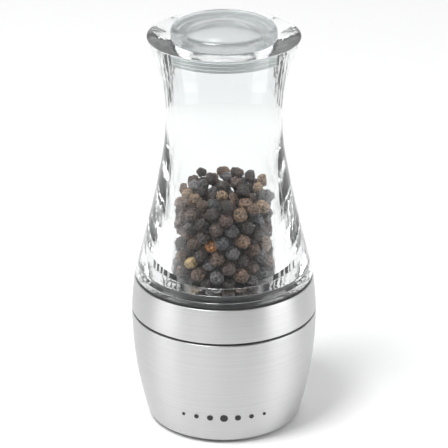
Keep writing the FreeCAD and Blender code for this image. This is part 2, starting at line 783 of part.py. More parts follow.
repeat_round(adjuster_ring, ramp, 2)

click_spring = new_piece("click_spring")
leaf_bottom = shoulder_height + 0.2
leaf_thickness = size("leaf_thickness", 0.4)
leaf_width = size("leaf_width", 1.5)
leaf_half = size("leaf_half", 5.0)
leaf_corner = half_chord(chamber_radius, leaf_half)
pad(click_spring, leaf_bottom, leaf_bottom + leaf_thickness, outline([
    (-leaf_half, notch_centre - leaf_width),
    (leaf_half, notch_centre - leaf_width),
    (leaf_half, leaf_corner, 0, chamber_radius),
    (-leaf_half, leaf_corner),
]))
pad(click_spring, adjuster_top - notch_radius + seat_gap, leaf_bottom,
    circle(0, notch_centre, notch_radius * 0.6))

# ---- peppercorns --------------------------------------------------------------------------------
# The corns deep in the heap are one packed core that stands on the drive plate. The corns that can be
# seen are dropped one by one round and over it, each rolled to the lowest place it finds, until the
# heap reaches its sloping top.
corn_radius = size("corn_radius", 2.3)
corn_spread = size("corn_spread", 0.3)
corn_gap = size("corn_gap", 0.06)
heap_height = size("heap_height", 31.0)
heap_tilt = size("heap_tilt", 0.25)
layer_room = size("layer_room", 6.7)
core_radius = bore_foot_radius - layer_room
core_skirt_radius = window_radius - 2 * running_gap
core_cover = size("core_cover", 5.5)
core_foot = plate_top + seat_gap
core_step = spindle_top + adjust_travel + running_gap
core_top = recess_top + heap_height - core_cover - heap_tilt * core_radius
packed_corns = new_piece("packed_corns")
turn(packed_corns, [
    (hub_radius + running_gap, core_foot),
    (core_skirt_radius, core_foot),
    (core_skirt_radius, core_step),
    (core_radius, core_step),
    (core_radius, core_top),
    (0, core_top),
    (0, core_step),
    (hub_radius + running_gap, core_step),
])


TRIES = 240


def bore_radius_at(height):
    """The narrower of the hopper mouth and the tapering bore at a height."""
    share = (height - recess_top.number) / (dish_height.number - mouth_depth.number - recess_top.number)
    taper = bore_foot_radius.number + (bore_top_radius.number - bore_foot_radius.number) * max(share, 0)
    return min(taper, hopper_radius.number)


def resting_height(across, along, radius, settled):
    """The height at which a corn that comes straight down at this place would stop."""
    beside_core = math.hypot(across, along) > core_radius.number + radius + corn_gap.number
    height = (core_step if beside_core else core_top).number + radius + corn_gap.number
    for other_across, other_along, other_height, other_radius in settled:
        reach = radius + other_radius + corn_gap.number
        flat = (across - other_across) ** 2 + (along - other_along) ** 2
        if flat < reach * reach:
            height = max(height, other_height + math.sqrt(reach * reach - flat))
    return height


def dropped_corn(draw, radius, settled):
    """The lowest of many places for one corn: some drawn at random, the rest close to the best."""
    best = None
    for attempt in range(TRIES):
        if best is None or attempt < TRIES / 2:
            distance = math.sqrt(draw.random()) * bore_foot_radius.number
            angle = draw.uniform(0, 2 * math.pi)
            across, along = distance * math.cos(angle), distance * math.sin(angle)
        else:
            across = best[0] + draw.gauss(0, 0.8)
            along = best[1] + draw.gauss(0, 0.8)
        height = resting_height(across, along, radius, settled)
        room = bore_radius_at(height + radius) - radius - 2 * corn_gap.number
        if math.hypot(across, along) <= room and (best is None or height < best[2]):
            best = (across, along, height, radius)
    return best


def settle_corns():
    draw = random.Random(7)
    settled = []
    misses = 0
    while misses < 40:
        radius = corn_radius.number + draw.uniform(-1, 1) * corn_spread.number
        corn = dropped_corn(draw, radius, settled)
        surface = recess_top.number + heap_height.number + draw.uniform(-3, 3) * corn_spread.number
        if corn is None or corn[2] + radius > surface + heap_tilt.number * corn[0]:
            misses += 1
            continue
        settled.append(corn)
    return settled


peppercorns = doc.addObject("Part::Feature", "peppercorns")
peppercorns.Label = "peppercorns"
peppercorns.Shape = Part.makeCompound([
    Part.makeSphere(radius, Vector(across, along, height))
    for across, along, height, radius in settle_corns()
])
pieces.append(peppercorns)

# ---- check and write ----------------------------------------------------------------------------
doc.recompute()
for item in doc.Objects:
    if {"Invalid", "Error"} & set(item.State):
        raise RuntimeError(f"{item.Name} did not build: {item.State}")
for piece in pieces:
    if piece.Shape.isNull() or not piece.Shape.isValid():
        raise RuntimeError(f"{piece.Label} has no valid shape")
os.makedirs("parts", exist_ok=True)
for piece in pieces:
    piece.Shape.exportStep(f"parts/{piece.Label}.step")
    print(piece.Label, len(piece.Shape.Solids), round(piece.Shape.Volume, 1))
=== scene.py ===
import math
import random

import bmesh
import bpy
import numpy as np
from mathutils import Euler, Matrix, Vector, noise


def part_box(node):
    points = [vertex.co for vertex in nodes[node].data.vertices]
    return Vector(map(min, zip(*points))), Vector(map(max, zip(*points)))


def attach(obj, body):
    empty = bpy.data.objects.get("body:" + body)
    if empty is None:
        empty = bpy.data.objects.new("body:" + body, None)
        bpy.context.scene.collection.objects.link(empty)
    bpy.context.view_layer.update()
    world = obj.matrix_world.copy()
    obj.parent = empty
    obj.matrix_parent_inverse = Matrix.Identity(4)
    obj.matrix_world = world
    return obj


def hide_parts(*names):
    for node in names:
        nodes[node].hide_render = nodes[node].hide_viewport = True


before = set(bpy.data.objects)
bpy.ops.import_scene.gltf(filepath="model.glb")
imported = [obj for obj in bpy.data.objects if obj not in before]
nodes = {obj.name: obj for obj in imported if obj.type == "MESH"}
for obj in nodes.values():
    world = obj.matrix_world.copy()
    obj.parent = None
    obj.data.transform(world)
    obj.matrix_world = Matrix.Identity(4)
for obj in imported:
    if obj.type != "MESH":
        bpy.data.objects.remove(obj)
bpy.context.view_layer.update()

# ---- Table, light and camera --------------------------------------------------------------------
# The mill stands on a plain white table. A soft light hangs over it from the left, two tall soft
# panels stand at its sides, and a wide one lights the back of the table, unseen through the acrylic.
scene = bpy.context.scene
scene.view_settings.view_transform = "Standard"
scene.view_settings.look = "None"
scene.cycles.max_bounces = 32
scene.cycles.transmission_bounces = 32
scene.cycles.glossy_bounces = 16
scene.cycles.diffuse_bounces = 4
scene.cycles.sample_clamp_indirect = 8.0

CAMERA_PLACE = (0.0, -0.8505, 0.4476)
CAMERA_PITCH = 66.14
CAMERA_LENS = 217.0
camera_data = bpy.data.cameras.new("camera")
camera_data.lens = CAMERA_LENS
camera_data.sensor_width = 36.0
camera_data.clip_start = 0.01
camera_data.clip_end = 50.0
camera = bpy.data.objects.new("camera", camera_data)
camera.location = CAMERA_PLACE
camera.rotation_euler = (math.radians(CAMERA_PITCH), 0.0, 0.0)
scene.collection.objects.link(camera)
scene.camera = camera


class Nodes:
    """A short way to lay out and join shader nodes."""

    def __init__(self, tree):
        self.tree = tree
        tree.nodes.clear()

    def add(self, kind, **values):
        node = self.tree.nodes.new(f"ShaderNode{kind}")
        for key, value in values.items():
            if key in node.bl_rna.properties:
                setattr(node, key, value)
            else:
                node.inputs[key.replace("_", " ")].default_value = value
        return node

    def join(self, source, target):
        self.tree.links.new(source, target)


def soft_panel(name, place, towards, width, height, power):
    data = bpy.data.lights.new(name, "AREA")
    data.shape = "RECTANGLE"
    data.size = width
    data.size_y = height
    data.energy = power
    lamp = bpy.data.objects.new(name, data)
    lamp.location = place
    lamp.rotation_euler = (Vector(towards) - Vector(place)).to_track_quat("-Z", "Y").to_euler()
    scene.collection.objects.link(lamp)
    return lamp


MIDDLE = (0.0, 0.0, 0.07)
soft_panel("overhead_light", (-0.40, -0.38, 1.22), MIDDLE, 0.42, 0.42, 12.6)
soft_panel("left_panel", (-1.1, -0.32, 0.45), MIDDLE, 0.7, 0.9, 4.4)
soft_panel("right_panel", (1.1, -0.32, 0.45), MIDDLE, 0.8, 0.9, 6.8)
back_light = soft_panel("back_light", (0.0, 0.75, 0.9), (0.0, 0.35, 0.0), 1.6, 0.5, 1.7)
back_light.visible_transmission = False

# The room as light from every side. WALLS gives the grey of the wall by its direction, from 0 behind
# the mill to 1 at the camera's side: white behind, upright dark and pale strips that the thick acrylic
# bends into its flanks, then grey. The ceiling is dimmer.
WALLS = [(0.0, 0.94), (0.13, 0.94), (0.14, 0.2), (0.16, 0.2), (0.17, 0.94), (0.19, 0.94),
         (0.205, 0.08), (0.225, 0.08), (0.235, 0.9), (0.255, 0.9),
         (0.265, 0.05), (0.295, 0.05), (0.305, 0.75), (0.32, 0.75),
         (0.33, 0.05), (0.37, 0.05), (0.38, 0.6), (0.395, 0.6),
         (0.405, 0.06), (0.46, 0.06), (0.54, 0.3), (0.7, 0.16),
         (0.9, 0.12), (0.92, 0.5), (0.94, 0.5), (0.96, 0.12), (1.0, 0.12)]
WALL_BLUENESS = 1.01
CEILING = (0.40, 0.405, 0.41, 1.0)
world = bpy.data.worlds.new("room")
scene.world = world
world.use_nodes = True
room = Nodes(world.node_tree)
room_out = room.add("OutputWorld")
room_light = room.add("Background", Strength=1.0)
way = room.add("TexCoord")
split_way = room.add("SeparateXYZ")
sideways = room.add("Math", operation="ARCTAN2")
from_back = room.add("Math", operation="ABSOLUTE")
half_turn = room.add("Math", operation="DIVIDE")
half_turn.inputs[1].default_value = math.pi
walls = room.add("ValToRGB")
for place, grey in WALLS:
    if 0.0 < place < 1.0:
        stop = walls.color_ramp.elements.new(place)
    else:
        stop = walls.color_ramp.elements[-int(place)]
    stop.color = (grey, grey, grey * WALL_BLUENESS, 1.0)
height_share = room.add("MapRange", interpolation_type="SMOOTHSTEP", From_Min=0.78, From_Max=0.97)
ceiling = room.add("Mix", data_type="RGBA")
ceiling.inputs[7].default_value = CEILING
room.join(way.outputs["Generated"], split_way.inputs[0])
room.join(split_way.outputs["X"], sideways.inputs[0])
room.join(split_way.outputs["Y"], sideways.inputs[1])
room.join(sideways.outputs[0], from_back.inputs[0])
room.join(from_back.outputs[0], half_turn.inputs[0])
room.join(half_turn.outputs[0], walls.inputs[0])
room.join(split_way.outputs["Z"], height_share.inputs["Value"])
room.join(height_share.outputs["Result"], ceiling.inputs[0])
room.join(walls.outputs[0], ceiling.inputs[6])
room.join(ceiling.outputs[2], room_light.inputs["Color"])
room.join(room_light.outputs[0], room_out.inputs[0])

TABLE_SIDE, TABLE_FRONT, TABLE_BACK = 2.0, -1.5, 0.52
floor_mesh = bpy.data.meshes.new("table")
floor_mesh.from_pydata([(-TABLE_SIDE, TABLE_FRONT, 0.0), (TABLE_SIDE, TABLE_FRONT, 0.0),
                        (TABLE_SIDE, TABLE_BACK, 0.0), (-TABLE_SIDE, TABLE_BACK, 0.0)], [], [(0, 1, 2, 3)])
floor = bpy.data.objects.new("table", floor_mesh)
scene.collection.objects.link(floor)
table_paint = bpy.data.materials.new("table_paint")
table_paint.use_nodes = True
paint = Nodes(table_paint.node_tree)
paint_out = paint.add("OutputMaterial")
paint_surface = paint.add("BsdfPrincipled", Base_Color=(0.92, 0.92, 0.92, 1.0), Roughness=0.9)
paint.join(paint_surface.outputs[0], paint_out.inputs[0])
floor_mesh.materials.append(table_paint)

# ---- Clear body ---------------------------------------------------------------------------------
# Cast acrylic, turned and polished: straight lower flank, hollow waist, crisp rim. The bore that
# holds the corns is much narrower than the outside, so the thick wall bends the light.
MM = 0.001
ROUND_STEPS = 256
ARC_STEP = 0.6


def arc_points(start, through, end):
    """Points along the circle through three points, start included and end left out."""
    (ax, ay), (bx, by), (cx, cy) = start, through, end
    twice = 2 * (ax * (by - cy) + bx * (cy - ay) + cx * (ay - by))
    a, b, c = ax * ax + ay * ay, bx * bx + by * by, cx * cx + cy * cy
    ox = (a * (by - cy) + b * (cy - ay) + c * (ay - by)) / twice
    oy = (a * (cx - bx) + b * (ax - cx) + c * (bx - ax)) / twice
    radius = math.hypot(ax - ox, ay - oy)
    first = math.atan2(ay - oy, ax - ox)
    middle = (math.atan2(by - oy, bx - ox) - first + math.pi) % (2 * math.pi) - math.pi
    sweep = (math.atan2(cy - oy, cx - ox) - first) % (2 * math.pi)
    if middle < 0:
        sweep -= 2 * math.pi
    steps = max(4, math.ceil(abs(sweep) * radius / ARC_STEP))
    angles = [first + sweep * i / steps for i in range(steps)]
    return [(ox + radius * math.cos(a), oy + radius * math.sin(a)) for a in angles]


def outline_points(outline, edge):
    """A half-section in millimetres as a closed line, with its corners rounded by edge."""
    line, corners = [], []
    for index, corner in enumerate(outline):
        following = outline[(index + 1) % len(outline)]
        corners.append(len(line))
        if len(corner) == 4:
            line += arc_points(corner[:2], corner[2:], following[:2])
        else:
            line.append(tuple(corner))
    rounded = []
    for index, point in enumerate(line):
        here = Vector(point)
        back, ahead = Vector(line[index - 1]) - here, Vector(line[(index + 1) % len(line)]) - here
        turn = math.pi - back.angle(ahead, 0.0)
        if index not in corners or turn < 0.3 or here.x < 1e-6 or edge == 0:
            rounded.append(point)
            continue
        trim = min(edge * math.tan(turn / 2), back.length * 0.45, ahead.length * 0.45)
        first, last = here + back.normalized() * trim, here + ahead.normalized() * trim
        for share in (0.0, 0.25, 0.5, 0.75, 1.0):
            rest = 1 - share
            rounded.append(tuple(first * rest ** 2 + here * 2 * share * rest + last * share ** 2))
    return rounded


def lathe(name, outline, edge=0.15, steps=ROUND_STEPS):
    """Turn a half-section of (radius, height) corners round the Z axis; sharp edges stay sharp."""
    line = outline_points(outline, edge)
    shape = bmesh.new()
    rings = []
    for radius, height in line:
        if radius < 1e-6:
            rings.append([shape.verts.new((0.0, 0.0, height * MM))] * steps)
            continue
        angles = (2 * math.pi * i / steps for i in range(steps))
        rings.append([shape.verts.new((radius * math.cos(a) * MM, radius * math.sin(a) * MM, height * MM))
                      for a in angles])
    for index, ring in enumerate(rings):
        above = rings[(index + 1) % len(rings)]
        for i in range(steps):
            k = (i + 1) % steps
            corners = []
            for vertex in (ring[i], ring[k], above[k], above[i]):
                if vertex not in corners:
                    corners.append(vertex)
            if len(corners) > 2:
                shape.faces.new(corners)
    bmesh.ops.recalc_face_normals(shape, faces=shape.faces)
    for face in shape.faces:
        face.smooth = True
    for rim in shape.edges:
        rim.smooth = rim.calc_face_angle(0.0) < math.radians(35)
    mesh = bpy.data.meshes.new(name)
    shape.to_mesh(mesh)
    shape.free()
    piece = bpy.data.objects.new(name, mesh)
    scene.collection.objects.link(piece)
    return piece


def new_material(name):
    material = bpy.data.materials.new(name)
    material.use_nodes = True
    return material, Nodes(material.node_tree)


def grain_group():
    """Surface grain for any material: noise stretched along each axis, as a mask and a normal."""
    tree = bpy.data.node_groups.new("surface_grain", "ShaderNodeTree")
    inside = Nodes(tree)
    for socket, kind, value in (("Stretch", "Vector", (1.0, 1.0, 1.0)), ("Detail", "Float", 3.0),
                                ("Coarseness", "Float", 0.5), ("Relief", "Float", 0.15),
                                ("Depth", "Float", 0.0001)):
        given = tree.interface.new_socket(socket, in_out="INPUT", socket_type=f"NodeSocket{kind}")
        given.default_value = value
    tree.interface.new_socket("Mask", in_out="OUTPUT", socket_type="NodeSocketFloat")
    tree.interface.new_socket("Normal", in_out="OUTPUT", socket_type="NodeSocketVector")
    values = tree.nodes.new("NodeGroupInput")
    results = tree.nodes.new("NodeGroupOutput")
    spot = inside.add("TexCoord")
    scaled = inside.add("Mapping")
    speckle = inside.add("TexNoise", Scale=1.0)
    relief = inside.add("Bump")
    inside.join(spot.outputs["Object"], scaled.inputs["Vector"])
    inside.join(values.outputs["Stretch"], scaled.inputs["Scale"])
    inside.join(scaled.outputs["Vector"], speckle.inputs["Vector"])
    inside.join(values.outputs["Detail"], speckle.inputs["Detail"])
    inside.join(values.outputs["Coarseness"], speckle.inputs["Roughness"])
    inside.join(values.outputs["Relief"], relief.inputs["Strength"])
    inside.join(values.outputs["Depth"], relief.inputs["Distance"])
    inside.join(speckle.outputs["Fac"], relief.inputs["Height"])
    inside.join(speckle.outputs["Fac"], results.inputs["Mask"])
    inside.join(relief.outputs["Normal"], results.inputs["Normal"])
    return tree


surface_grain = grain_group()

# The share of a shadow ray that goes straight through clear plastic.
SHADOW_LET_THROUGH = 0.85


def clear_plastic(name, through):
    """A clear plastic whose shadow lets most of the light through, tinted by through."""
    material, look = new_material(name)
    out = look.add("OutputMaterial")
    surface = look.add("BsdfPrincipled", Roughness=0.0, IOR=1.49, Transmission_Weight=1.0)
    ray = look.add("LightPath")
    shade_share = look.add("Math", operation="MULTIPLY")
    shade_share.inputs[1].default_value = SHADOW_LET_THROUGH
    lit_through = look.add("BsdfTransparent", Color=through)
    shared = look.add("MixShader")
    look.join(ray.outputs["Is Shadow Ray"], shade_share.inputs[0])
    look.join(shade_share.outputs[0], shared.inputs[0])
    look.join(surface.outputs[0], shared.inputs[1])
    look.join(lit_through.outputs[0], shared.inputs[2])
    look.join(shared.outputs[0], out.inputs[0])
    return material, look, surface


def bottom(node):
    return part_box(node)[0].z / MM


def top(node):
    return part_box(node)[1].z / MM


def radius_of(node):
    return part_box(node)[1].x / MM


RIM_RADIUS = 25.92
RIM_DISH = 0.7
WAIST = (19.88, 56.7)
NECK = (20.94, 44.2)
FLANK_MIDDLE = (23.16, 32.35)
FLANK = (25.84, 20.5)
BODY_FOOT = top("collar_gasket")
BODY_RIM = top("clear_body")
DISH = BODY_RIM - RIM_DISH
BORE_TOP, BORE_FOOT = 17.2, 18.5
MOUTH_DEPTH = 7.0
CAP_SEAT = 18.0
RECESS_RADIUS, RECESS_TOP = 26.0, BODY_FOOT + 2.6
FOOT_RADIUS = 30.85
FOOT_GAP = 0.03
clear_body = lathe("clear_body_shell", [
    (RECESS_RADIUS, BODY_FOOT + FOOT_GAP),
    (FOOT_RADIUS, BODY_FOOT + FOOT_GAP),
    (FLANK[0], BODY_FOOT + FLANK[1], FLANK_MIDDLE[0], BODY_FOOT + FLANK_MIDDLE[1]),
    (NECK[0], BODY_FOOT + NECK[1], WAIST[0], BODY_FOOT + WAIST[1]),
    (RIM_RADIUS, BODY_RIM),
    (CAP_SEAT, DISH),
    (BORE_TOP, DISH),
    (BORE_TOP, DISH - MOUTH_DEPTH),
    (BORE_FOOT, RECESS_TOP),
    (RECESS_RADIUS, RECESS_TOP),
], edge=0.2)
acrylic, look, acrylic_surface = clear_plastic("clear_acrylic", (0.96, 0.97, 0.965, 1.0))
acrylic_surface.inputs["Base Color"].default_value = (0.965, 0.98, 0.975, 1.0)
acrylic_surface.inputs["Specular Tint"].default_value = (0.5, 0.5, 0.5, 1.0)
ripple = look.add("Group", node_tree=surface_grain, Stretch=(300.0, 300.0, 16.0), Detail=2.0, Relief=0.2,
                  Depth=0.0004)
look.join(ripple.outputs["Normal"], acrylic_surface.inputs["Normal"])
clear_body.data.materials.append(acrylic)
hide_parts("clear_body")
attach(clear_body, "top")

# ---- Stopper ------------------------------------------------------------------------------------
# A moulded acrylic lid, slightly frosted, with a round shoulder and hollowed from below like a bell.
# A soft sleeve on its plug has fins that grip the bore. It lifts straight out to fill the mill.
CAP_RADIUS = radius_of("stopper_cap")
PLUG_RADIUS = 16.05
HOLLOW_RADIUS = 14.6
HOLLOW_RISE = 6.7
HOLLOW_LIP = 1.5
SHOULDER = 2.5
CROWN = 0.5
CAP_GAP = 0.1
HOLLOW_BEND = 0.82
CROWN_BEND = 0.3
SHOULDER_DROP = 0.8
cap_top, plug_low = top("stopper_cap"), bottom("stopper_cap")
cap_foot = DISH + CAP_GAP
shoulder_inset = SHOULDER * (1 - math.sin(math.radians(45)))
stopper_cap = lathe("stopper_disc", [
    (0, plug_low + HOLLOW_RISE),
    (0.2, plug_low + HOLLOW_RISE, HOLLOW_RADIUS / 2, plug_low + HOLLOW_RISE * HOLLOW_BEND),
    (HOLLOW_RADIUS, plug_low + HOLLOW_LIP),
    (HOLLOW_RADIUS, plug_low),
    (PLUG_RADIUS, plug_low),
    (PLUG_RADIUS, cap_foot),
    (CAP_RADIUS, cap_foot),
    (CAP_RADIUS, cap_top - CROWN - SHOULDER * SHOULDER_DROP,
     CAP_RADIUS - shoulder_inset, cap_top - CROWN - shoulder_inset * SHOULDER_DROP),
    (CAP_RADIUS - SHOULDER, cap_top - CROWN, CAP_RADIUS / 2, cap_top - CROWN * CROWN_BEND),
    (0.2, cap_top),
    (0, cap_top),
], edge=0.25)
moulded, look, moulded_surface = clear_plastic("moulded_acrylic", (0.94, 0.95, 0.95, 1.0))
moulded_surface.inputs["Base Color"].default_value = (0.65, 0.675, 0.68, 1.0)
moulded_surface.inputs["Roughness"].default_value = 0.15
stopper_cap.data.materials.append(moulded)
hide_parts("stopper_cap")
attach(stopper_cap, "stopper")

silicone, look = new_material("frosted_silicone")
silicone_out = look.add("OutputMaterial")
silicone_surface = look.add("BsdfPrincipled", Base_Color=(0.64, 0.67, 0.67, 1.0), Roughness=0.6, IOR=1.41,
                            Transmission_Weight=0.3)
look.join(silicone_surface.outputs[0], silicone_out.inputs[0])
nodes["stopper_seal"].data.materials.clear()
nodes["stopper_seal"].data.materials.append(silicone)

# ---- Steel shell and collar ---------------------------------------------------------------------
# Drawn stainless steel, brushed round the axis, with small broken edges at the seam. The shell
# swells a little between foot and seam, and the collar carries the same curve up to the acrylic.
SHELL = 1.0
SEAM_RADIUS = radius_of("base_shell")
SHELL_FOOT = 27.0
SHELL_MIDDLE = 30.72
FOOT_ROUND = 2.0
FOOT_RING_GAP = 0.1
shell_low, shell_top = bottom("base_shell"), top("base_shell")
shell_middle = (shell_low + shell_top) / 2
round_inset = FOOT_ROUND * 0.32
inner_foot = radius_of("foot_ring") + FOOT_RING_GAP
base_shell = lathe("base_skin", [
    (inner_foot, shell_low),
    (SHELL_FOOT - FOOT_ROUND, shell_low, SHELL_FOOT - round_inset, shell_low + round_inset),
    (SHELL_FOOT, shell_low + FOOT_ROUND, SHELL_MIDDLE, shell_middle),
    (SEAM_RADIUS, shell_top),
    (SEAM_RADIUS - SHELL, shell_top, SHELL_MIDDLE - SHELL, shell_middle),
    (SHELL_FOOT - SHELL, shell_low + FOOT_ROUND),
    (inner_foot, shell_low + SHELL),
], edge=0.25)
collar_low, collar_top = bottom("collar"), top("collar")
collar_middle = (collar_low + collar_top) / 2
COLLAR_RADIUS = 30.95
COLLAR_BULGE = 0.15
collar_middle_radius = (SEAM_RADIUS + COLLAR_RADIUS) / 2 + COLLAR_BULGE
LIP_RADIUS = 26.3
collar = lathe("collar_skin", [
    (SEAM_RADIUS - SHELL, collar_low),
    (SEAM_RADIUS, collar_low, collar_middle_radius, collar_middle),
    (COLLAR_RADIUS, collar_top),
    (LIP_RADIUS, collar_top),
    (LIP_RADIUS, collar_top - SHELL),
    (COLLAR_RADIUS - SHELL, collar_top - SHELL, collar_middle_radius - SHELL, collar_middle),
], edge=0.25)
steel, look = new_material("brushed_steel")
steel_out = look.add("OutputMaterial")
steel_surface = look.add("BsdfPrincipled", Base_Color=(0.62, 0.62, 0.622, 1.0), Roughness=0.42, Metallic=1.0,
                         Anisotropic=0.8, Anisotropic_Rotation=0.25)
tangent = look.add("Tangent", direction_type="RADIAL", axis="Z")
grain = look.add("Group", node_tree=surface_grain, Stretch=(16.0, 16.0, 2600.0), Detail=5.0, Coarseness=0.65,
                 Relief=0.12, Depth=0.0001)
grain_range = look.add("MapRange", From_Min=0.3, From_Max=0.7, To_Min=0.34, To_Max=0.46)
grain_share = look.add("MapRange", From_Min=0.3, From_Max=0.7)
brightness = look.add("Mix", data_type="RGBA")
brightness.inputs[6].default_value = (0.575, 0.575, 0.578, 1.0)
brightness.inputs[7].default_value = (0.65, 0.65, 0.652, 1.0)
look.join(grain.outputs["Mask"], grain_share.inputs["Value"])
look.join(grain_share.outputs["Result"], brightness.inputs[0])
look.join(brightness.outputs[2], steel_surface.inputs["Base Color"])
look.join(grain.outputs["Mask"], grain_range.inputs["Value"])
look.join(grain_range.outputs["Result"], steel_surface.inputs["Roughness"])
look.join(grain.outputs["Normal"], steel_surface.inputs["Normal"])
look.join(tangent.outputs["Tangent"], steel_surface.inputs["Tangent"])
look.join(steel_surface.outputs[0], steel_out.inputs[0])
for skin, node, body in ((base_shell, "base_shell", "base"), (collar, "collar", "top")):
    skin.data.materials.append(steel)
    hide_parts(node)
    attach(skin, body)

# ---- Peppercorns --------------------------------------------------------------------------------
# Dried berries four to five millimetres across, their husks shrunk into a net of ridges. Most are
# black-brown. TINTS gives each colour its share, and ODD_CORNS colours the corn nearest a place.
CORN_KINDS = 10
CORN_DETAIL, PACKED_DETAIL = 4, 3
RIDGE_SCALE = 2.3
RIDGE_DEPTH = 0.26
RIDGE_SHARPNESS = 2.6
RIDGE_BEND = 0.35
LUMPS = 0.22
# Painted shade: each husk is painted darker in the crevices between its ridges and lighter on the ridges.
CREVICE_PAINTED_SHADE, RIDGE_SHADE_GAIN, RIDGE_FALL = 0.05, 1.45, 1.3
TINTS = [((0.036, 0.024, 0.020), 11), ((0.080, 0.050, 0.038), 8), ((0.120, 0.070, 0.047), 6),
         ((0.115, 0.105, 0.108), 6), ((0.070, 0.070, 0.076), 4), ((0.170, 0.100, 0.066), 3),
         ((0.210, 0.135, 0.080), 2)]
ODD_CORNS = [((-4.5, -15.5, 67.5), (0.62, 0.25, 0.07)), ((-10.5, -12.5, 65.0), (0.42, 0.29, 0.13)),
             ((7.0, 2.0, 90.0), (0.48, 0.24, 0.12)), ((5.0, -14.0, 79.0), (0.16, 0.10, 0.06)),
             ((2.0, -15.0, 78.0), (0.10, 0.055, 0.045)), ((12.0, 5.0, 88.0), (0.30, 0.12, 0.09))]
ODD_REACH = 4.0


def island_spheres(mesh):
    """Centre and radius of each separate round part of a mesh."""
    places, owner = {}, []
    for vertex in mesh.vertices:
        key = tuple(round(c, 6) for c in vertex.co)
        owner.append(places.setdefault(key, len(places)))
    parent = list(range(len(places)))

    def root(i):
        while parent[i] != i:
            parent[i] = parent[parent[i]]
            i = parent[i]
        return i

    for edge in mesh.edges:
        parent[root(owner[edge.vertices[0]])] = root(owner[edge.vertices[1]])
    groups = {}
    for key, index in places.items():
        groups.setdefault(root(index), []).append(Vector(key))
    spheres = []
    for points in groups.values():
        low = Vector(min(p[i] for p in points) for i in range(3))
        high = Vector(max(p[i] for p in points) for i in range(3))
        spheres.append(((low + high) / 2, (high - low).z / 2))
    return sorted(spheres, key=lambda s: tuple(s[0]))


def wrinkled_ball(detail, seed):
    """Points, faces and ridge mask of a unit ball whose skin has shrunk into a net of ridges."""
    ball = bmesh.new()
    bmesh.ops.create_icosphere(ball, subdivisions=detail, radius=1.0)
    points = np.array([v.co[:] for v in ball.verts])
    faces = np.array([[v.index for v in f.verts] for f in ball.faces])
    ball.free()
    offset = Vector((seed * 7.3, seed * 3.1, seed * 5.7))
    ridges = np.empty(len(points))
    for index, point in enumerate(points):
        way = Vector(point)
        bend = noise.noise_vector(way * 1.7 + offset) * RIDGE_BEND
        near, next_near = noise.voronoi(way * RIDGE_SCALE + bend + offset)[0][:2]
        lumps = noise.fractal(way * 5.0 + offset, 0.9, 2.0, 3)
        ridges[index] = max(0.0, 1.0 - (next_near - near) * RIDGE_SHARPNESS) + LUMPS * lumps
    ridges = np.clip(ridges, 0.0, 1.0)
    return points * (1.0 - RIDGE_DEPTH * (1.0 - ridges[:, None])), faces, ridges


def corn_pile(name, spheres, detail, draw):
    """One mesh of wrinkled corns, each turned its own way, with its colour painted on, darkened as painted
    shade in the crevices.
    """
    kinds = [wrinkled_ball(detail, kind + 1) for kind in range(CORN_KINDS)]
    tint_pool = [tint for tint, share in TINTS for _ in range(share)]
    odd = {}
    for place, tint in ODD_CORNS:
        nearest = min(range(len(spheres)), key=lambda i: (spheres[i][0] / MM - Vector(place)).length)
        if (spheres[nearest][0] / MM - Vector(place)).length < ODD_REACH:
            odd[nearest] = tint
    all_points, all_faces, all_tints, count = [], [], [], 0
    for index, (centre, radius) in enumerate(spheres):
        points, faces, ridges = kinds[draw.randrange(CORN_KINDS)]
        turned = np.array(Euler([draw.uniform(0, 2 * math.pi) for _ in range(3)]).to_matrix())
        squash = np.array([draw.uniform(0.93, 1.0) for _ in range(3)])
        tint = np.array(odd.get(index, draw.choice(tint_pool))) * draw.uniform(0.75, 1.3)
        all_points.append((points * squash) @ turned.T * radius + np.array(centre))
        all_faces.append(faces + count)
        # Painted shade: the husk's colour darkens into the crevices and brightens on the ridges.
        painted_relief_shade = CREVICE_PAINTED_SHADE + RIDGE_SHADE_GAIN * ridges[:, None] ** RIDGE_FALL
        husk_colour_and_shade = np.clip(tint * painted_relief_shade, 0.0, 0.9)
        all_tints.append(np.hstack([husk_colour_and_shade, np.ones((len(points), 1))]))
        count += len(points)
    pile = bpy.data.meshes.new(name)
    pile.from_pydata(np.vstack(all_points).tolist(), [], np.vstack(all_faces).tolist())
    # The tint attribute holds each husk's colour together with its painted crevice shade.
    paint = pile.color_attributes.new("tint", "FLOAT_COLOR", "POINT")
    paint.data.foreach_set("color", np.vstack(all_tints).ravel())
    pile.polygons.foreach_set("use_smooth", [True] * len(pile.polygons))
    pile.update()
    piece = bpy.data.objects.new(name, pile)
    scene.collection.objects.link(piece)
    return piece


draw = random.Random(11)
corns = corn_pile("corns", island_spheres(nodes["peppercorns"].data), CORN_DETAIL, draw)

# The imported middle of the heap, as a sleeve and cap of corns round a near-black heart, which is painted
# shade standing for the shaded corns deep in the heap. A pocket in the heart's foot leaves room for the
# spindle and its nut to rise.
CORN = 2.35
ROW_RISE = CORN * 1.75
CORNS_ROUND = 12
POCKET_RADIUS, POCKET_RISE = 5.3, 7.2
HEART_FOOT, HEART_NECK = 4.0, 9.0
HEART_INSET, HEART_SUNK = 1.2, 2.5
LAYER_CLEAR = 6.0
HEART_RADIUS = 9.4
heart_low, heart_top = bottom("packed_corns"), top("packed_corns")
buried = []
rows = int((heart_top - heart_low - LAYER_CLEAR - 2 * CORN) / ROW_RISE) + 1
for row in range(rows):
    level = heart_top - CORN - row * ROW_RISE
    for step in range(CORNS_ROUND):
        angle = 2 * math.pi * (step + row % 2 / 2 + draw.uniform(-0.12, 0.12)) / CORNS_ROUND
        reach = HEART_RADIUS + draw.uniform(-0.5, 0.0)
        buried.append((Vector((reach * math.cos(angle), reach * math.sin(angle), level)) * MM,
                       CORN * draw.uniform(0.88, 1.0) * MM))
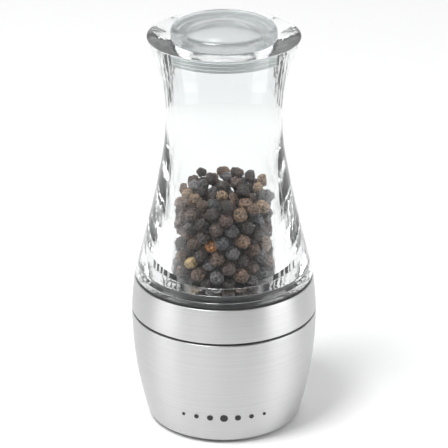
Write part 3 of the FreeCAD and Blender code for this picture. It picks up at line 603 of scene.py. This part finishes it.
for ring, count in ((4.8, 6), (0.0, 1)):
    for step in range(count):
        angle = 2 * math.pi * step / count
        centre = Vector((ring * math.cos(angle), ring * math.sin(angle), heart_top - CORN))
        buried.append((centre * MM, CORN * MM))
packed = corn_pile("packed_corn_layer", buried, PACKED_DETAIL, draw)
heart = lathe("packed_heart", [
    (POCKET_RADIUS, heart_low),
    (radius_of("packed_corns"), heart_low),
    (radius_of("packed_corns"), heart_low + HEART_FOOT),
    (HEART_RADIUS - HEART_INSET, heart_low + HEART_NECK),
    (HEART_RADIUS - HEART_INSET, heart_top - HEART_SUNK),
    (0, heart_top - HEART_SUNK),
    (0, heart_low + POCKET_RISE),
    (POCKET_RADIUS, heart_low + POCKET_RISE),
], edge=0.3)
# The husk shader takes its colour, with the painted crevice shade, from the tint attribute.
husk, look = new_material("peppercorn_husk")
husk_out = look.add("OutputMaterial")
husk_surface = look.add("BsdfPrincipled", Roughness=0.42)
husk_tint = look.add("Attribute", attribute_name="tint")
husk_grain = look.add("Group", node_tree=surface_grain, Stretch=(1500.0, 1500.0, 1500.0), Detail=4.0,
                      Coarseness=0.65, Relief=0.8, Depth=0.0004)
look.join(husk_tint.outputs["Color"], husk_surface.inputs["Base Color"])
look.join(husk_grain.outputs["Normal"], husk_surface.inputs["Normal"])
look.join(husk_surface.outputs[0], husk_out.inputs[0])
corns.data.materials.append(husk)
# Painted shade: the heart's near-black colour stands for the shade deep inside the heap.
painted_shade_husk, look = new_material("packed_painted_shade")
dark_out = look.add("OutputMaterial")
dark_surface = look.add("BsdfPrincipled", Base_Color=(0.012, 0.010, 0.009, 1.0), Roughness=0.7)
look.join(dark_surface.outputs[0], dark_out.inputs[0])
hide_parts("peppercorns")
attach(corns, "top")
heart.data.materials.append(painted_shade_husk)
packed.data.materials.append(husk)
for layer in (packed, heart):
    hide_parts("packed_corns")
    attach(layer, "top")

# ---- Black mouldings, rubber and the works inside -----------------------------------------------
# Insert and housing are satin black mouldings, gasket and foot black rubber, slip ring and adjuster
# black acetal. The works inside are plain and spring steel, ceramic burrs, brass and a zinc bridge.
ROUGHNESS_SPREAD = 0.08


def plain_finish(name, colour, roughness, metallic, grain_scale, members):
    material, look = new_material(name)
    out = look.add("OutputMaterial")
    surface = look.add("BsdfPrincipled", Base_Color=(*colour, 1.0), Roughness=roughness, Metallic=metallic)
    speckle = look.add("Group", node_tree=surface_grain, Stretch=(grain_scale, grain_scale, grain_scale))
    spread = look.add("MapRange", From_Min=0.3, From_Max=0.7, To_Min=roughness - ROUGHNESS_SPREAD,
                      To_Max=roughness + ROUGHNESS_SPREAD)
    look.join(speckle.outputs["Mask"], spread.inputs["Value"])
    look.join(spread.outputs["Result"], surface.inputs["Roughness"])
    look.join(speckle.outputs["Normal"], surface.inputs["Normal"])
    look.join(surface.outputs[0], out.inputs[0])
    for member in members:
        nodes[member].data.materials.clear()
        nodes[member].data.materials.append(material)


plain_finish("black_moulding", (0.008, 0.008, 0.009), 0.4, 0.0, 1800.0,
             ["drive_insert", "mechanism_housing"])
plain_finish("black_rubber", (0.006, 0.006, 0.006), 0.6, 0.0, 2500.0, ["collar_gasket", "foot_ring"])
plain_finish("black_acetal", (0.015, 0.015, 0.015), 0.45, 0.0, 1500.0, ["slip_ring", "adjuster_ring"])
plain_finish("plain_steel", (0.6, 0.6, 0.61), 0.35, 1.0, 900.0,
             ["drive_plate", "retainer_screws", "burr_retainer", "spindle", "spring_washer", "spindle_nut"])
plain_finish("spring_steel", (0.4, 0.4, 0.42), 0.3, 1.0, 1500.0,
             ["insert_clip", "shell_clip", "burr_clip", "click_spring", "grind_spring"])
plain_finish("burr_ceramic", (0.82, 0.81, 0.78), 0.5, 0.0, 2200.0, ["grinder_ring", "grinder_cone"])
plain_finish("bearing_brass", (0.75, 0.55, 0.24), 0.3, 1.0, 900.0, ["thrust_washer", "bridge_bearing"])
plain_finish("cast_zinc", (0.45, 0.45, 0.46), 0.5, 1.0, 1400.0, ["bearing_bridge"])

# A thin black ring sits at the acrylic's foot on the gasket under it. It is painted shade, darkening the
# view down through the foot.
SHADE_RING_RADIUS, SHADE_RING_BAND = 30.2, 0.4
SHADE_RING_LOW, SHADE_RING_HIGH = BODY_FOOT - 0.02, BODY_FOOT + 0.12
lip_shade_ring = lathe("lip_shade_ring", [
    (SHADE_RING_RADIUS, SHADE_RING_LOW),
    (SHADE_RING_RADIUS + SHADE_RING_BAND, SHADE_RING_LOW),
    (SHADE_RING_RADIUS + SHADE_RING_BAND, SHADE_RING_HIGH),
    (SHADE_RING_RADIUS, SHADE_RING_HIGH),
], edge=0.0)
# Painted shade: the ring takes the black rubber only to darken the acrylic's foot.
lip_shade_ring.data.materials.append(bpy.data.materials["black_rubber"])
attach(lip_shade_ring, "top")

# ---- Grind marks --------------------------------------------------------------------------------
# A row of round enamel dots low on the front of the shell, small to large and back, for fine and
# coarse grinding.
MARK_HEIGHT = 11.3
MARK_STEP = 9.5
MARK_DEPTH = 0.5
MARK_PROUD = 0.05
MARK_LEAN = 9.0
MARK_SIZES = (0.55, 0.8, 1.05, 1.35, 1.05, 0.8, 0.55)
# Where the shell's swelling side stands at the marks' height.
mark_share = (MARK_HEIGHT - shell_low) / (shell_top - shell_low)
mark_reach = SHELL_FOOT + (SEAM_RADIUS - SHELL_FOOT) * mark_share + 4 * mark_share * (1 - mark_share) * (
    SHELL_MIDDLE - (SHELL_FOOT + SEAM_RADIUS) / 2)
marks = bmesh.new()
for step, size in enumerate(MARK_SIZES, start=-(len(MARK_SIZES) // 2)):
    turn = Matrix.Rotation(math.radians(MARK_STEP * step), 4, "Z")
    lean = Matrix.Rotation(math.radians(90 + MARK_LEAN), 4, "X")
    set_in = Matrix.Translation((0.0, -(mark_reach - MARK_DEPTH / 2 + MARK_PROUD) * MM, MARK_HEIGHT * MM))
    bmesh.ops.create_cone(marks, cap_ends=True, segments=40, radius1=size * MM, radius2=size * MM,
                          depth=MARK_DEPTH * MM, matrix=turn @ set_in @ lean)
mark_mesh = bpy.data.meshes.new("grind_marks")
marks.to_mesh(mark_mesh)
marks.free()
grind_marks = bpy.data.objects.new("grind_marks", mark_mesh)
scene.collection.objects.link(grind_marks)
mark_mesh.materials.append(bpy.data.materials["black_acetal"])
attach(grind_marks, "base")
